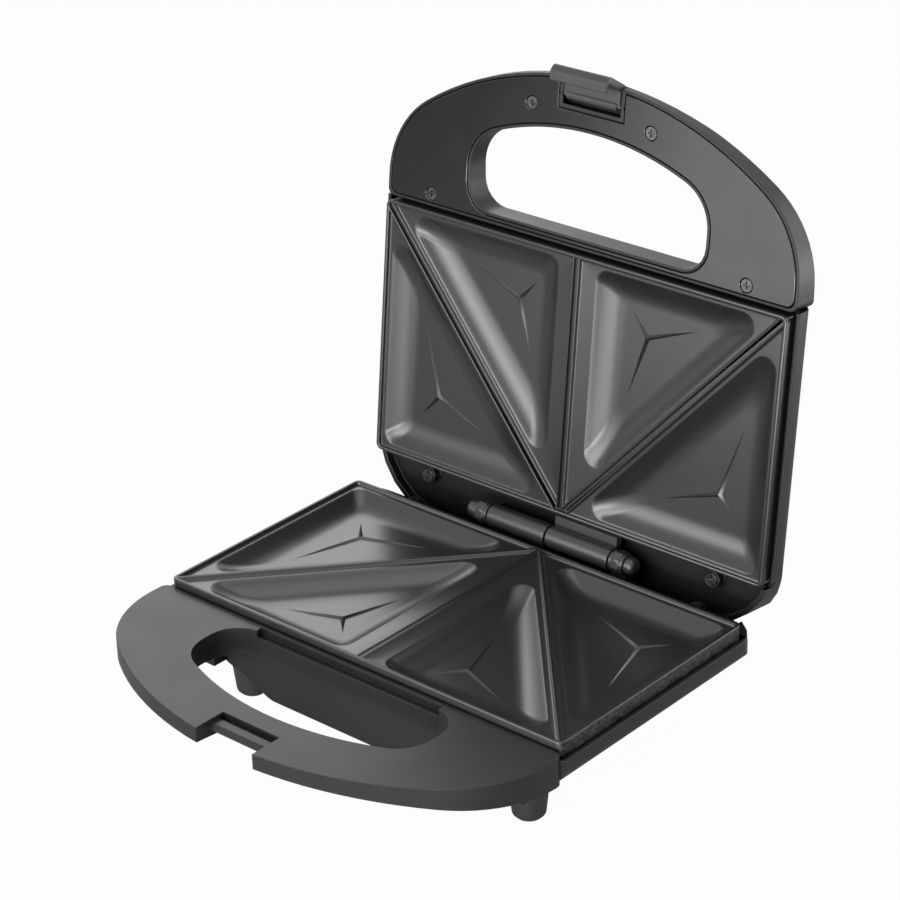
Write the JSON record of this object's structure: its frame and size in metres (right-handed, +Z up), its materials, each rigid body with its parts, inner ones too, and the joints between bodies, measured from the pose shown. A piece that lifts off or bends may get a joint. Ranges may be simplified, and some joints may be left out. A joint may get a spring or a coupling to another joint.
{
  "type": "sandwich toaster",
  "caption": "Countertop sandwich toaster with two hinged pocketed cooking plates, looped front grips and a swinging latch.",
  "frame": {"origin": "middle of the opened toaster's bounding box, on the surface it stands on", "axes": "+Z up, -Y towards the grips, +X to the right when the grips are in front"},
  "size_m": [0.224, 0.2589, 0.2641],
  "materials": {
    "casing": "satin charcoal moulding",
    "cover": "glossy black moulding",
    "plate": "dark non-stick coating",
    "reflector": "plain sheet",
    "element": "oxidised tube",
    "ceramic": "unglazed",
    "terminal": "plain",
    "rubber_black": "matt",
    "foot": "satin",
    "screw": "blackened",
    "steel": "bright",
    "hinge": "satin",
    "lamp_red": "clear red",
    "lamp_green": "clear green",
    "latch": "satin grey"
  },
  "bodies": {
    "base": {"base_shell": "casing", "base_plate": "plate", "base_reflector": "reflector", "base_element": "element", "thermostat": "ceramic", "thermal_fuse": "ceramic", "terminal_block": "terminal", "cord_bushing": "rubber_black", "foot_front_left": "foot", "foot_front_right": "foot", "foot_rear_left": "foot", "foot_rear_right": "foot", "foot_pads": "rubber_black", "deck_screws": "screw", "base_screws": "screw", "hinge_pin": "steel", "hinge_caps": "hinge", "base_hinge_clip": "hinge"},
    "lid": {"lid_shell": "casing", "handle_cover": "cover", "lid_plate": "plate", "lid_reflector": "reflector", "lid_element": "element", "cover_screws": "screw", "lid_screws": "screw", "latch_rod": "steel", "lid_hinge_clip": "hinge", "lamp_power": "lamp_red", "lamp_ready": "lamp_green"},
    "latch": {"latch": "latch"}
  },
  "joints": [
    {"name": "lid_hinge", "type": "hinge", "parent": "base", "child": "lid", "pos_m": [0, 0.07843, 0.0533], "axis": [1, 0, 0], "range_deg": [0, 96.7]},
    {"name": "latch_swing", "type": "hinge", "parent": "lid", "child": "latch", "pos_m": [0, 0.10687, 0.24917], "axis": [1, 0, 0], "range_deg": [0, 28]}
  ]
}
